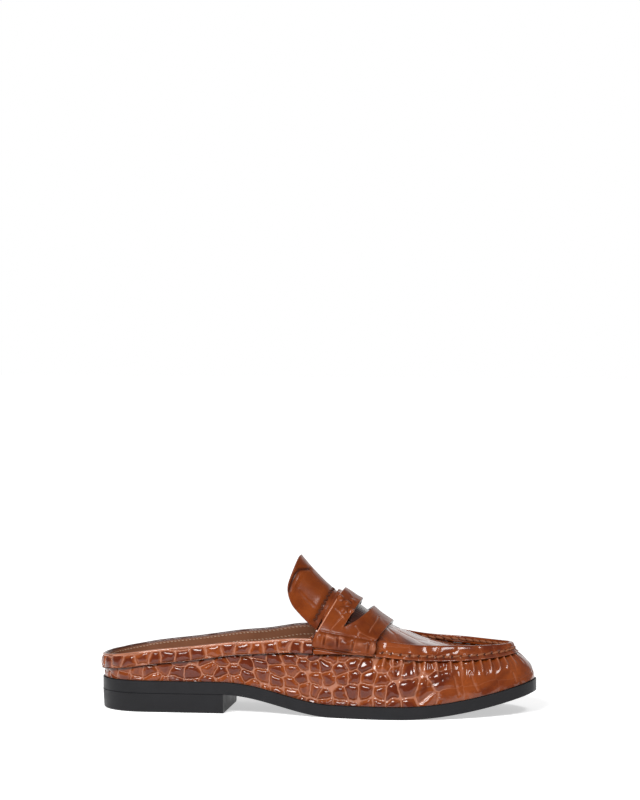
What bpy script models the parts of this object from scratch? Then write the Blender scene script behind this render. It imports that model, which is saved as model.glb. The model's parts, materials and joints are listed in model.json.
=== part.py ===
"""Penny loafer mule for a right foot, low at the heel, on a black sole with a low block heel.

The foot points along +X, +Y is its inner side and +Z is up. Everything is worked out from one
outline: a ring of stations round the sole. A wall rises from each station, and the apron spans
from wall to wall over the instep. Bands, strap and tongue are cut from that same surface.
"""
import bpy
import numpy as np
from math import cos, pi, radians, sin, sqrt

# Driving sizes, in metres
LENGTH = 0.264
BALL_WIDTH = 0.089
TOE_SWING = 0.005
SOLE_THICKNESS = 0.0074
SOLE_EDGE_BEVEL = 0.0006
TOE_SPRING = 0.0130
SPRING_CURVE = 1.8
TOE_FULLNESS = 2.15
HEEL_LENGTH = 0.078
HEEL_HEIGHT = 0.0114
HEEL_TAPER = 0.0006
HEEL_EDGE_BEVEL = 0.0007
SOLE_MARGIN = 0.0009
WALL = 0.0020
WALL_HEIGHT = 0.0390
VAMP_INSET = 0.0140
SIDE_BULGE = 0.0012
BELLY_HEIGHT = 0.55
SHOULDER_REACH = 0.35
INNER_LIFT = 0.0022
INSTEP_RISE = 0.0264
INSTEP_LEAN = 0.50
ARCH_FLATNESS = 2.2
ARCH_SHOULDER = 0.72
BAND_THICKNESS = 0.0011
RIDGE_HEIGHT = 0.0042
RIDGE_THICKNESS = 0.0026
RIDGE_AT_STRAP = 0.30
STRAP_THICKNESS = 0.0024
STRAP_LIFT = 0.0017
STRAP_ROLL = 0.0016
SLOT_WIDTH = 0.0076
SLOT_REACH = 0.87
TONGUE_THICKNESS = 0.0018
TONGUE_LENGTH = 0.0315
TONGUE_ROOT = 0.0130
TONGUE_TILT = 41
TONGUE_CURL = 5
TONGUE_ARCH = 0.08
TONGUE_CORNER = 0.0070
TONGUE_EDGE = 0.6
INSOLE_THICKNESS = 0.0030
GAP = 0.0003
STRAP_GAP = 0.0008

# Places along the foot, as shares of LENGTH from the heel
HEEL_ROUND = 0.110
SWING_START = 0.450
TREAD_START = 0.548
TREAD_END = 0.700
TOE_ROUND = 0.750
THROAT = 0.496
STRAP_BACK = 0.505
STRAP_BACK_TOP = 0.507
STRAP_FRONT = 0.640
SLOT_BACK = 0.555
RIDGE_FULL = 0.860

# Outline of the sole: half widths as shares of BALL_WIDTH, before the ends are rounded
OUTLINE = [
    # along, outer, inner
    (0.00, 0.325, 0.325),
    (0.11, 0.325, 0.325),
    (0.20, 0.328, 0.320),
    (0.30, 0.335, 0.300),
    (0.40, 0.355, 0.282),
    (0.50, 0.410, 0.312),
    (0.58, 0.465, 0.375),
    (0.65, 0.508, 0.432),
    (0.72, 0.515, 0.470),
    (0.80, 0.493, 0.462),
    (0.85, 0.467, 0.450),
    (0.90, 0.446, 0.434),
    (0.95, 0.428, 0.420),
    (1.00, 0.440, 0.430),
]

# Wall of the upper. Height is a share of WALL_HEIGHT, inset a share of VAMP_INSET, lean the
# slope inwards at its top in degrees, seam the share of the height where the bands begin, lift
# the share of INNER_LIFT on the inner side, and rise the share of INSTEP_RISE of the apron's
# middle above its edges.
WALL_SECTIONS = [
    # along, height, inset, lean, seam, lift, rise
    (0.00, 0.340, 0.07, 6, 0.39, 0.0, 0.0),
    (0.05, 0.385, 0.08, 6, 0.45, 0.0, 0.0),
    (0.12, 0.460, 0.10, 5, 0.54, 0.0, 0.0),
    (0.24, 0.550, 0.13, 5, 0.62, 0.35, 0.0),
    (0.36, 0.675, 0.16, 6, 0.72, 0.85, 0.0),
    (0.47, 0.920, 0.22, 9, 0.77, 1.35, 1.0),
    (0.50, 0.955, 0.26, 11, 0.775, 1.20, 1.0),
    (0.55, 0.965, 0.38, 16, 0.805, 0.60, 0.73),
    (0.60, 0.940, 0.57, 22, 0.82, 0.20, 0.500),
    (0.65, 0.898, 0.76, 28, 0.825, 0.0, 0.320),
    (0.70, 0.850, 0.89, 34, 0.827, 0.0, 0.205),
    (0.75, 0.800, 0.95, 38, 0.830, 0.0, 0.110),
    (0.80, 0.740, 0.98, 41, 0.833, 0.0, 0.050),
    (0.85, 0.672, 1.00, 44, 0.836, 0.0, 0.022),
    (0.90, 0.595, 1.00, 46, 0.846, 0.0, 0.010),
    (0.95, 0.512, 0.99, 48, 0.870, 0.0, 0.004),
    (1.00, 0.430, 0.98, 50, 0.900, 0.0, 0.0),
]

# Grid of the upper
BACK_STATIONS = 27
FRONT_STATIONS = 27
LOW_ROWS = 4
BAND_ROWS = 3
APRON_COLUMNS = 12
EDGE_CROWDING = 0.35
STRAP_ROWS = 4
ROLL_LINES = 2
TONGUE_ROWS = 6
ROOT_ROWS = 3


def smooth(share):
    """Eases from 0 to 1."""
    share = min(max(share, 0.0), 1.0)
    return share * share * (3 - 2 * share)


def read_table(table, along, column):
    """A smooth curve through one column of a table."""
    rows = np.array(table)
    x, y = rows[:, 0], rows[:, column]
    slopes = np.gradient(y, x)
    k = int(np.clip(np.searchsorted(x, along) - 1, 0, len(x) - 2))
    step = x[k + 1] - x[k]
    t = (along - x[k]) / step
    start = (1 + 2 * t) * (1 - t) ** 2 * y[k] + t * (1 - t) ** 2 * step * slopes[k]
    end = t * t * (3 - 2 * t) * y[k + 1] + t * t * (t - 1) * step * slopes[k + 1]
    return start + end


def end_rounding(along):
    """Closes the outline at heel and toe with quarter ellipses."""
    if along < HEEL_ROUND:
        return sqrt(max(0.0, 1 - ((HEEL_ROUND - along) / HEEL_ROUND) ** 2))
    if along > TOE_ROUND:
        return sqrt(max(0.0, 1 - ((along - TOE_ROUND) / (1 - TOE_ROUND)) ** TOE_FULLNESS))
    return 1.0


def edge_point(along, side):
    """A point of the sole's outline: side is -1 on the outer side and 1 on the inner side."""
    column = 1 if side < 0 else 2
    half = read_table(OUTLINE, along, column) * BALL_WIDTH * end_rounding(along)
    middle = TOE_SWING * smooth((along - SWING_START) / (1 - SWING_START))
    return np.array([(along - 0.5) * LENGTH, middle + side * half])


def bottom_height(along):
    """Height of the sole's underside: heel seat, shank, flat tread, then toe spring."""
    breast = HEEL_LENGTH / LENGTH
    if along < TREAD_END:
        return HEEL_HEIGHT * (1 - smooth((along - breast) / (TREAD_START - breast)))
    return TOE_SPRING * ((along - TREAD_END) / (1 - TREAD_END)) ** SPRING_CURVE


def top_height(along):
    return bottom_height(along) + SOLE_THICKNESS


def even_stations(start, end, count):
    """Shares along the foot that lie evenly round the outline from start to end."""
    fine = 0.5 - 0.5 * np.cos(np.linspace(0, pi, 2001))
    fine = fine[(fine > start) & (fine < end)]
    fine = np.concatenate([[start], fine, [end]])
    points = np.array([(edge_point(a, -1) - edge_point(a, 1)) / 2 for a in fine])
    points[:, 0] = fine * LENGTH
    steps = np.hypot(*np.diff(points, axis=0).T)
    walked = np.concatenate([[0], np.cumsum(steps)])
    return list(np.interp(np.linspace(0, walked[-1], count + 1), walked, fine))


def inward(along, side):
    """Unit vector in plan, from the outline towards the middle of the foot."""
    if along < 1e-9:
        return np.array([1.0, 0.0])
    if along > 1 - 1e-9:
        return np.array([-1.0, 0.0])
    reach = min(1e-4, along / 2, (1 - along) / 2)
    run = edge_point(along + reach, side) - edge_point(along - reach, side)
    run /= np.hypot(*run)
    return np.array([run[1], -run[0]]) * side


def inset_point(along, side, inset, height):
    """A point set in from the outline by inset, at a height."""
    plan = edge_point(along, side) + inward(along, side) * inset
    return np.array([plan[0], plan[1], height])


def make_object(name, points, faces, material):
    """Makes one named object, with its faces turned outwards."""
    mesh = bpy.data.meshes.new(name)
    centred = [(float(p[0] + CENTRE[0]), float(p[1] + CENTRE[1]), float(p[2])) for p in points]
    mesh.from_pydata(centred, [], [tuple(int(i) for i in f) for f in faces])
    mesh.validate()
    mesh.materials.append(material)
    mesh.shade_smooth()
    mesh.set_sharp_from_angle(angle=radians(35))
    part = bpy.data.objects.new(name, mesh)
    bpy.context.scene.collection.objects.link(part)
    return part


def paint(name, colour, roughness):
    material = bpy.data.materials.new(name)
    material.use_nodes = True
    shader = material.node_tree.nodes["Principled BSDF"]
    shader.inputs["Base Color"].default_value = (*colour, 1.0)
    shader.inputs["Roughness"].default_value = roughness
    shader.inputs["Metallic"].default_value = 0.0
    return material


def slab(name, alongs, rings, material):
    """A closed slab between inset outlines. rings run from the underside up to the top, each
    an inset and a height function; an end that isn't at heel or toe gets a flat face."""
    points, faces = [], []
    index = {}
    for r, (inset, height) in enumerate(rings):
        for k, along in enumerate(alongs):
            for side in (-1, 1):
                tip = along < 1e-9 or along > 1 - 1e-9
                if tip and side > 0:
                    index[r, k, 1] = index[r, k, -1]
                    continue
                index[r, k, side] = len(points)
                points.append(inset_point(along, side, inset, height(along)))
    last, top = len(alongs) - 1, len(rings) - 1
    for k in range(last):
        for r in range(top):
            outer = [index[r, k, -1], index[r, k + 1, -1], index[r + 1, k + 1, -1], index[r + 1, k, -1]]
            inner = [index[r, k, 1], index[r + 1, k, 1], index[r + 1, k + 1, 1], index[r, k + 1, 1]]
            faces += [outer, inner]
        faces.append([index[0, k, -1], index[0, k, 1], index[0, k + 1, 1], index[0, k + 1, -1]])
        faces.append([index[top, k, -1], index[top, k + 1, -1], index[top, k + 1, 1], index[top, k, 1]])
    if alongs[-1] < 1 - 1e-9:
        outer = [index[r, last, -1] for r in range(top + 1)]
        inner = [index[r, last, 1] for r in range(top, -1, -1)]
        faces.append((outer + inner)[::-1])
    faces = [list(dict.fromkeys(f)) for f in faces]
    return make_object(name, points, [f for f in faces if len(f) > 2], material)


def outsole(material):
    alongs = even_stations(0, 1, 60)
    rings = [
        (SOLE_EDGE_BEVEL / 2, bottom_height),
        (0.0, lambda a: bottom_height(a) + SOLE_EDGE_BEVEL / 2),
        (0.0, lambda a: top_height(a) - SOLE_EDGE_BEVEL / 3),
        (SOLE_EDGE_BEVEL / 3, top_height),
    ]
    return slab("outsole", alongs, rings, material)


def heel_block(material):
    alongs = even_stations(0, HEEL_LENGTH / LENGTH, 24)
    rings = [
        (HEEL_TAPER + HEEL_EDGE_BEVEL, lambda a: 0.0),
        (HEEL_TAPER, lambda a: HEEL_EDGE_BEVEL),
        (0.0, lambda a: HEEL_HEIGHT - GAP),
    ]
    return slab("heel_block", alongs, rings, material)


def insole(material):
    alongs = even_stations(0, 1, 48)
    inset = SOLE_MARGIN + WALL + 2 * GAP
    rings = [
        (inset, lambda a: top_height(a) + GAP),
        (inset, lambda a: top_height(a) + GAP + INSOLE_THICKNESS),
    ]
    return slab("insole", alongs, rings, material)


def wall_profile(along, side, share):
    """Inset and height above the sole of the wall's outside, share 0 at its foot, 1 at its top."""
    height = read_table(WALL_SECTIONS, along, 1) * WALL_HEIGHT
    if side > 0:
        height += read_table(WALL_SECTIONS, along, 5) * INNER_LIFT
    inset = read_table(WALL_SECTIONS, along, 2) * VAMP_INSET
    lean = radians(read_table(WALL_SECTIONS, along, 3))
    foot = np.array([SOLE_MARGIN, GAP])
    belly = np.array([SOLE_MARGIN - SIDE_BULGE, BELLY_HEIGHT * height])
    top = np.array([inset, height])
    shoulder = top - SHOULDER_REACH * height * np.array([sin(lean), cos(lean)])
    t = share
    return ((1 - t) ** 3 * foot + 3 * t * (1 - t) ** 2 * belly
            + 3 * t * t * (1 - t) * shoulder + t ** 3 * top)


def centring():
    """Shift in plan that centres the shoe's box on the frame."""
    rim = [edge_point(a, side)[1] for a in np.linspace(0, 1, 401) for side in (-1, 1)]
    overhang = GAP + BAND_THICKNESS - min(wall_profile(0.0, -1, t)[0] for t in np.linspace(0.3, 1, 36))
    return np.array([max(overhang, 0.0) / 2, -(max(rim) + min(rim)) / 2])


CENTRE = centring()


def wall_share_at(along, side, height_share):
    """Where on the wall's curve a share of its height is reached."""
    low, high = 0.0, 1.0
    goal = height_share * wall_profile(along, side, 1.0)[1]
    for _ in range(30):
        middle = (low + high) / 2
        if wall_profile(along, side, middle)[1] < goal:
            low = middle
        else:
            high = middle
    return (low + high) / 2


def wall_point(along, side, share):
    inset, height = wall_profile(along, side, share)
    return inset_point(along, side, inset, top_height(along) + height)


def wall_column(along, side):
    """Points up the wall's outside: foot to seam, then seam to top."""
    seam = wall_share_at(along, side, read_table(WALL_SECTIONS, along, 4))
    shares = list(np.linspace(0, seam, LOW_ROWS + 1)) + list(np.linspace(seam, 1, BAND_ROWS + 1))[1:]
    return [wall_point(along, side, s) for s in shares]


def arch_height(along, across):
    """Height of the apron above its edges. across runs from -1 at the outer edge to 1."""
    rise = read_table(WALL_SECTIONS, along, 6) * INSTEP_RISE
    return rise * max(0.0, 1 - abs(across) ** ARCH_FLATNESS) ** ARCH_SHOULDER


def apron_row(along):
    """Points across the apron from the outer wall's top to the inner wall's top."""
    outer, inner = wall_point(along, -1, 1.0), wall_point(along, 1, 1.0)
    row = []
    for c in range(APRON_COLUMNS + 1):
        even = 2 * c / APRON_COLUMNS - 1
        across = even + (sin(pi * even / 2) - even) * EDGE_CROWDING
        point = outer + (inner - outer) * (across + 1) / 2
        row.append(point + arch_height(along, across) * np.array([INSTEP_LEAN, 0.0, 1.0]))
    return row


class UpperGrid:
    """The outside of the upper as rows of points, with a normal at each."""

    def __init__(self):
        back = even_stations(0, THROAT, BACK_STATIONS)
        front = even_stations(THROAT, 1, FRONT_STATIONS)
        self.alongs = back + front[1:]
        self.throat = BACK_STATIONS
        self.toe = BACK_STATIONS + FRONT_STATIONS
        self.rows = LOW_ROWS + BAND_ROWS
        self.points, self.faces, self.index = [], [], {}
        self.place_wall()
        self.place_apron()
        self.make_faces()
        self.normals = self.vertex_normals()

    def add(self, key, point):
        self.index[key] = len(self.points)
        self.points.append(point)

    def place_wall(self):
        for k, along in enumerate(self.alongs):
            for side in (-1, 1):
                if k in (0, self.toe) and side > 0:
                    for r in range(self.rows + 1):
                        self.index["wall", k, 1, r] = self.index["wall", k, -1, r]
                    continue
                for r, point in enumerate(wall_column(along, side)):
                    self.add(("wall", k, side, r), point)

    def place_apron(self):
        for k in range(self.throat, self.toe):
            row = apron_row(self.alongs[k])
            self.index["apron", k, 0] = self.index["wall", k, -1, self.rows]
            self.index["apron", k, APRON_COLUMNS] = self.index["wall", k, 1, self.rows]
            for c in range(1, APRON_COLUMNS):
                self.add(("apron", k, c), row[c])
        for c in range(APRON_COLUMNS + 1):
            self.index["apron", self.toe, c] = self.index["wall", self.toe, -1, self.rows]

    def make_faces(self):
        for k in range(self.toe):
            for r in range(self.rows):
                for side in (-1, 1):
                    corners = [(k, r), (k + 1, r), (k + 1, r + 1), (k, r + 1)]
                    face = [self.index["wall", a, side, b] for a, b in corners]
                    self.faces.append(face if side < 0 else face[::-1])
        for k in range(self.throat, self.toe):
            for c in range(APRON_COLUMNS):
                corners = [(k, c), (k + 1, c), (k + 1, c + 1), (k, c + 1)]
                face = [self.index["apron", a, b] for a, b in corners]
                face = list(dict.fromkeys(face))
                if len(face) > 2:
                    self.faces.append(face)

    def vertex_normals(self):
        points = np.array(self.points)
        normals = np.zeros_like(points)
        for face in self.faces:
            a, b = points[face[2]] - points[face[0]], points[face[-1]] - points[face[1]]
            turn = np.cross(a, b)
            turn /= np.linalg.norm(turn)
            for i in face:
                normals[i] += turn
        return normals / np.linalg.norm(normals, axis=1)[:, None]

    def place(self, key, offset=0.0):
        """A grid point moved along its normal."""
        i = self.index[key]
        return np.array(self.points[i]) + self.normals[i] * offset

    def line(self, across):
        """Key of one of the lines that run along the foot: band rows of the outer wall, the
        apron's columns, then band rows of the inner wall."""
        if across <= BAND_ROWS:
            return lambda k: ("wall", k, -1, LOW_ROWS + across)
        if across < BAND_ROWS + APRON_COLUMNS:
            return lambda k: ("apron", k, across - BAND_ROWS)
        return lambda k: ("wall", k, 1, 2 * BAND_ROWS + APRON_COLUMNS - across + LOW_ROWS)

    def along_line(self, across, along, offset=0.0):
        """A point at any place along such a line, or between two of them."""
        low = int(np.floor(across))
        if across > low:
            here, there = (self.along_line(low + i, along, offset) for i in (0, 1))
            return here + (there - here) * (across - low)
        on_apron = BAND_ROWS < across < BAND_ROWS + APRON_COLUMNS
        key = self.line(low)
        first = self.throat if on_apron else 0
        k = int(np.clip(np.searchsorted(self.alongs, along) - 1, first, self.toe - 1))
        t = max(0.0, (along - self.alongs[k]) / (self.alongs[k + 1] - self.alongs[k]))
        return self.place(key(k), offset) * (1 - t) + self.place(key(k + 1), offset) * t

    def band_points(self, along, side, offset):
        """The wall's band from its seam up to its top, at any place along the foot."""
        lines = range(BAND_ROWS + 1)
        if side > 0:
            last = 2 * BAND_ROWS + APRON_COLUMNS
            lines = [last - i for i in lines]
        return [self.along_line(i, along, offset) for i in lines]


def shell(name, grid_points, faces, thickness, material):
    """Thickens a sheet of faces along its normals. Positive thickness goes outwards."""
    part = make_object(name, grid_points, faces, material)
    solid = part.modifiers.new("thickness", "SOLIDIFY")
    solid.thickness = abs(thickness)
    solid.offset = 1.0 if thickness > 0 else -1.0
    solid.use_even_offset = True
    solid.use_quality_normals = True
    return part


def upper(grid, material):
    return shell("upper", grid.points, grid.faces, -WALL, material)


def sweep(name, sections, material, closed=False):
    """A solid through matching cross-sections, each a loop of points."""
    points = [p for section in sections for p in section]
    count, size = len(sections), len(sections[0])
    faces = []
    for k in range(count if closed else count - 1):
        here, there = k * size, (k + 1) % count * size
        for i in range(size):
            j = (i + 1) % size
            faces.append([here + i, there + i, there + j, here + j])
    if not closed:
        faces.append(list(range(size)))
        faces.append([(count - 1) * size + i for i in range(size)][::-1])
    return make_object(name, points, faces, material)


def collar_band(grid, material):
    """The strip round the opening, from strap to strap by way of the heel."""
    end = STRAP_BACK - STRAP_GAP / LENGTH
    alongs = [a for a in grid.alongs if a < end - GAP / LENGTH] + [end]
    walk = [(a, -1) for a in alongs[::-1]] + [(a, 1) for a in alongs[1:]]
    sections = []
    for along, side in walk:
        under = grid.band_points(along, side, GAP)
        over = grid.band_points(along, side, GAP + BAND_THICKNESS)
        sections.append(under + over[::-1])
    return sweep("collar_band", sections, material)


def ridge_height(along):
    """The seam stands full height round the toe and sinks towards the strap."""
    grown = smooth((along - STRAP_FRONT) / (RIDGE_FULL - STRAP_FRONT))
    return RIDGE_HEIGHT * (RIDGE_AT_STRAP + (1 - RIDGE_AT_STRAP) * grown)


def seam_band(grid, material):
    """The raised seam of the apron with the strip that laps over the vamp below it."""
    start = STRAP_FRONT + STRAP_GAP / LENGTH
    alongs = [start] + [a for a in grid.alongs if a > start + GAP / LENGTH]
    walk = [(a, -1) for a in alongs] + [(a, 1) for a in alongs[-2::-1]]
    sections = []
    for along, side in walk:
        under = grid.band_points(along, side, GAP)
        over = grid.band_points(along, side, GAP + BAND_THICKNESS)[:-1]
        base = grid.band_points(along, side, 0.0)[-1]
        into = np.array([*inward(along, side), 0.0])
        up = np.array([0.0, 0.0, ridge_height(along)])
        foot = base + into * RIDGE_THICKNESS
        across = RIDGE_THICKNESS / max(abs(base[1] - TOE_SWING), 2 * RIDGE_THICKNESS)
        lift = arch_height(along, 1 - across)
        foot = foot + lift * np.array([INSTEP_LEAN, 0.0, 1.0]) + np.array([0.0, 0.0, 1.5 * GAP])
        out = base - into * (GAP + 0.5 * BAND_THICKNESS)
        outer_top = out + up + into * 0.3 * RIDGE_THICKNESS
        inner_top = foot + up
        crown = (outer_top + inner_top) / 2 + np.array([0.0, 0.0, 0.25 * RIDGE_THICKNESS])
        sections.append((under + [foot, inner_top, crown, outer_top] + over[::-1])[::-1])
    return sweep("seam_band", sections, material)


def strap(grid, material):
    """The saddle strap with its slot. Its ends roll over the apron's seam on both sides."""
    lines = 2 * BAND_ROWS + APRON_COLUMNS
    points, index = [], {}
    for a in range(lines + 1):
        middle = (a - lines / 2) / (APRON_COLUMNS / 2)
        crown = max(0.0, 1 - middle * middle)
        back = STRAP_BACK + (STRAP_BACK_TOP - STRAP_BACK) * sqrt(crown)
        open_share = max(0.0, 1 - (middle / SLOT_REACH) ** 2) ** 0.6
        slot_front = SLOT_BACK + SLOT_WIDTH / LENGTH * open_share
        near_rim = abs(abs(a - lines / 2) - APRON_COLUMNS / 2)
        roll = STRAP_ROLL * max(0.0, 1 - near_rim / ROLL_LINES)
        for g in range(2 * STRAP_ROWS):
            if g < STRAP_ROWS:
                share = g / (STRAP_ROWS - 1)
                along = back + (SLOT_BACK - back) * share
            else:
                share = 1 - (g - STRAP_ROWS) / (STRAP_ROWS - 1)
                along = slot_front + (STRAP_FRONT - slot_front) * (1 - share)
            lift = STRAP_LIFT * share * share * open_share
            if g == STRAP_ROWS and open_share <= 0:
                index[a, g] = index[a, g - 1]
                continue
            index[a, g] = len(points)
            points.append(grid.along_line(a, along, GAP + lift + roll))
    faces = []
    for a in range(lines):
        for g in range(2 * STRAP_ROWS - 1):
            if g == STRAP_ROWS - 1:
                continue
            faces.append([index[a, g], index[a, g + 1], index[a + 1, g + 1], index[a + 1, g]])
    return shell("saddle_strap", points, faces, STRAP_THICKNESS, material)


def tongue(grid, material):
    """The tongue: its root lies under the apron, its free end stands up behind the strap."""
    columns = [TONGUE_EDGE] + list(range(1, APRON_COLUMNS)) + [APRON_COLUMNS - TONGUE_EDGE]
    points, index = [], {}
    sink = WALL + GAP
    root_end = THROAT + TONGUE_ROOT / LENGTH
    starts = [grid.along_line(BAND_ROWS + column, THROAT, -sink) for column in columns]
    walked = np.concatenate([[0], np.cumsum([np.linalg.norm(b - a) for a, b in zip(starts, starts[1:])])])
    for c, column in enumerate(columns):
        middle = 2 * column / APRON_COLUMNS - 1
        inside = min(walked[c], walked[-1] - walked[c], TONGUE_CORNER)
        cut = TONGUE_CORNER - sqrt(TONGUE_CORNER ** 2 - (TONGUE_CORNER - inside) ** 2)
        length = TONGUE_LENGTH * (1 - TONGUE_ARCH * middle * middle) - cut
        start = starts[c]
        for g in range(-ROOT_ROWS, TONGUE_ROWS + 1):
            if g <= 0:
                along = THROAT - (root_end - THROAT) * g / ROOT_ROWS
                point = grid.along_line(BAND_ROWS + column, along, -sink)
            else:
                share = g / TONGUE_ROWS
                turn = radians(TONGUE_TILT + TONGUE_CURL * share)
                point = start + length * share * np.array([-cos(turn), 0.0, sin(turn)])
            index[c, g] = len(points)
            points.append(point)
    faces = []
    for c in range(len(columns) - 1):
        for g in range(-ROOT_ROWS, TONGUE_ROWS):
            faces.append([index[c, g + 1], index[c, g], index[c + 1, g], index[c + 1, g + 1]])
    return shell("tongue", points, faces, -TONGUE_THICKNESS, material)


def build():
    for old in list(bpy.data.objects):
        bpy.data.objects.remove(old)
    croc = paint("croc_leather", (0.230, 0.075, 0.025), 0.25)
    lining = paint("lining_leather", (0.200, 0.085, 0.045), 0.6)
    rubber = paint("black_sole", (0.022, 0.022, 0.024), 0.55)
    grid = UpperGrid()
    outsole(rubber)
    heel_block(rubber)
    insole(lining)
    upper(grid, croc)
    collar_band(grid, croc)
    seam_band(grid, croc)
    strap(grid, croc)
    tongue(grid, croc)


build()
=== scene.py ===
# %% [markdown]
# # A crocodile-embossed penny loafer mule
# The shoe is a backless loafer for the right foot: glossy brown leather pressed with a crocodile
# pattern, a raised seam round the toe, a slotted saddle strap, a tall tongue and a thin black sole.
# The frame holds the plain solids at their real size. This lesson dresses each of them: it takes a
# copy of the solid, rounds it off, presses the scales into it, and sews the stitches on.

# %% Load the frame
import json
import bpy
import numpy as np
from math import atan2, cos, pi, radians, sin
from mathutils import Matrix, Vector
from mathutils.bvhtree import BVHTree
from mathutils.kdtree import KDTree

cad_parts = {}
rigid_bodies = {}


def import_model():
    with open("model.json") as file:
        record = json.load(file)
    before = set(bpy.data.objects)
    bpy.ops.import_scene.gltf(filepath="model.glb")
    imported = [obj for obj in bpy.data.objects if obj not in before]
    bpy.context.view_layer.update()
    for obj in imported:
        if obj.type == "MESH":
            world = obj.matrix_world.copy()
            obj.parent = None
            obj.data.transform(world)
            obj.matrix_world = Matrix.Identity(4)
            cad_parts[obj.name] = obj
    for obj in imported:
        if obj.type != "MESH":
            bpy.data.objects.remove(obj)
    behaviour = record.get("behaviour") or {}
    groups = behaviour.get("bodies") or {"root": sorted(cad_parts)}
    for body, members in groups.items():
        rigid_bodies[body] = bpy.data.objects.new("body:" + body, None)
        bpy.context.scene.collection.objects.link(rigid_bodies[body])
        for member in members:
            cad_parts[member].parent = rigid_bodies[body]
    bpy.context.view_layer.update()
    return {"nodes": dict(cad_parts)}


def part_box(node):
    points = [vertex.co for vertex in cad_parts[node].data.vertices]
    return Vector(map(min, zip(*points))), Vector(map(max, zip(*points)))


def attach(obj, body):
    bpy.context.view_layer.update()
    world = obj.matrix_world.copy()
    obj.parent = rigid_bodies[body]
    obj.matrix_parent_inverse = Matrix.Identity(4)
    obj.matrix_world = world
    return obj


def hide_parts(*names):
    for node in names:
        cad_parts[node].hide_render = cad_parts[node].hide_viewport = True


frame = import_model()
MM = 0.001
scene = bpy.context.scene
scene.view_settings.view_transform = "Standard"
print("the frame holds", sorted(frame["nodes"]))

# %% [markdown]
# ## The sole's edge as a ruler
# A shoemaker measures an upper along the edge of the sole and up from it. We do the same. The top
# face of the outsole gives the edge as a ring of points. A smooth closed curve through them, with
# a point every half millimetre, lets us ask of any spot on the leather how far round it lies, how
# far in from the edge, and on which side of the foot.

# %% Read the edge and make it smooth
RULER_STEP = 0.5 * MM


def ring_of_the_sole():
    """Corners of the outsole's top face, sorted round the foot from the heel's back."""
    mesh = frame["nodes"]["outsole"].data
    corners = set()
    for face in mesh.polygons:
        if face.normal.z > 0.8:
            for i in face.vertices:
                corners.add(tuple(round(c, 6) for c in mesh.vertices[i].co))
    return np.array(sorted(corners, key=lambda c: atan2(c[1], c[0])))


def smooth_ring(corners):
    """A closed curve through the corners, with its points one ruler step apart."""
    before, after = np.roll(corners, 1, axis=0), np.roll(corners, -1, axis=0)
    beyond = np.roll(corners, -2, axis=0)
    shares = np.linspace(0, 1, 40, endpoint=False)[:, None, None]
    slope, next_slope = (after - before) / 2, (beyond - corners) / 2
    curve = ((2 * shares**3 - 3 * shares**2 + 1) * corners + (shares**3 - 2 * shares**2 + shares) * slope
             + (3 * shares**2 - 2 * shares**3) * after + (shares**3 - shares**2) * next_slope)
    points = curve.transpose(1, 0, 2).reshape(-1, 3)
    points = np.vstack([points, points[:1]])
    walked = np.concatenate([[0], np.cumsum(np.linalg.norm(np.diff(points[:, :2], axis=0), axis=1))])
    count = int(walked[-1] / RULER_STEP)
    even = np.linspace(0, walked[-1], count, endpoint=False)
    return np.stack([np.interp(even, walked, points[:, i]) for i in range(3)], axis=1)


ring = smooth_ring(ring_of_the_sole())
ring = np.roll(ring, -int(np.argmin(ring[:, 0])), axis=0)
ahead = np.roll(ring, -1, axis=0) - np.roll(ring, 1, axis=0)
ahead = ahead[:, :2] / np.linalg.norm(ahead[:, :2], axis=1)[:, None]
inwards = np.stack([-ahead[:, 1], ahead[:, 0]], axis=1)
toe_index = int(np.argmax(ring[:, 0]))
RING_COUNT = len(ring)
HALF_ROUND = RING_COUNT * RULER_STEP / 2
ruler_tree = KDTree(RING_COUNT)
for i, point in enumerate(ring):
    ruler_tree.insert((point[0], point[1], 0.0), i)
ruler_tree.balance()
print("half way round the sole is", round(HALF_ROUND / MM, 1), "mm, toe at", ring[toe_index].round(4))


# %% Measure places on the leather with the ruler
def measure(points):
    """For each point: distance from the heel's back, side (-1 outer, 1 inner), distance in from
    the sole's edge, and height above it."""
    result = np.zeros((len(points), 4))
    for n, point in enumerate(points):
        near = ruler_tree.find((point[0], point[1], 0.0))[1]
        offset = point[:2] - ring[near, :2]
        run = float(offset @ ahead[near])
        other = (near + (1 if run > 0 else -1)) % RING_COUNT
        other_run = float((point[:2] - ring[other, :2]) @ ahead[other])
        share = min(max(run / (run - other_run), 0.0), 1.0) if run != other_run else 0.0
        place = near + share * (1 if run > 0 else -1)
        outer = place <= toe_index
        along = place / toe_index if outer else (RING_COUNT - place) / (RING_COUNT - toe_index)
        result[n] = (abs(along) * HALF_ROUND, -1 if outer else 1, float(offset @ inwards[near]),
                     point[2] - ring[near, 2])
    return result


def edge_at(along, side):
    """The sole's edge at a distance from the heel's back, and the way inwards from there."""
    share = along / HALF_ROUND
    place = share * toe_index if side < 0 else RING_COUNT - share * (RING_COUNT - toe_index)
    low = int(np.floor(place))
    part = place - low
    a, b = low % RING_COUNT, (low + 1) % RING_COUNT
    point = ring[a] * (1 - part) + ring[b] * part
    way = inwards[a] * (1 - part) + inwards[b] * part
    return Vector(point), Vector((way[0], way[1], 0.0)).normalized()


def along_at_x(x, side):
    """Distance from the heel's back at which the sole's edge reaches x."""
    part = ring[: toe_index + 1] if side < 0 else np.roll(ring[::-1], 1, axis=0)[: RING_COUNT - toe_index + 1]
    return float(np.interp(x, part[:, 0], np.linspace(0, HALF_ROUND, len(part))))


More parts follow.
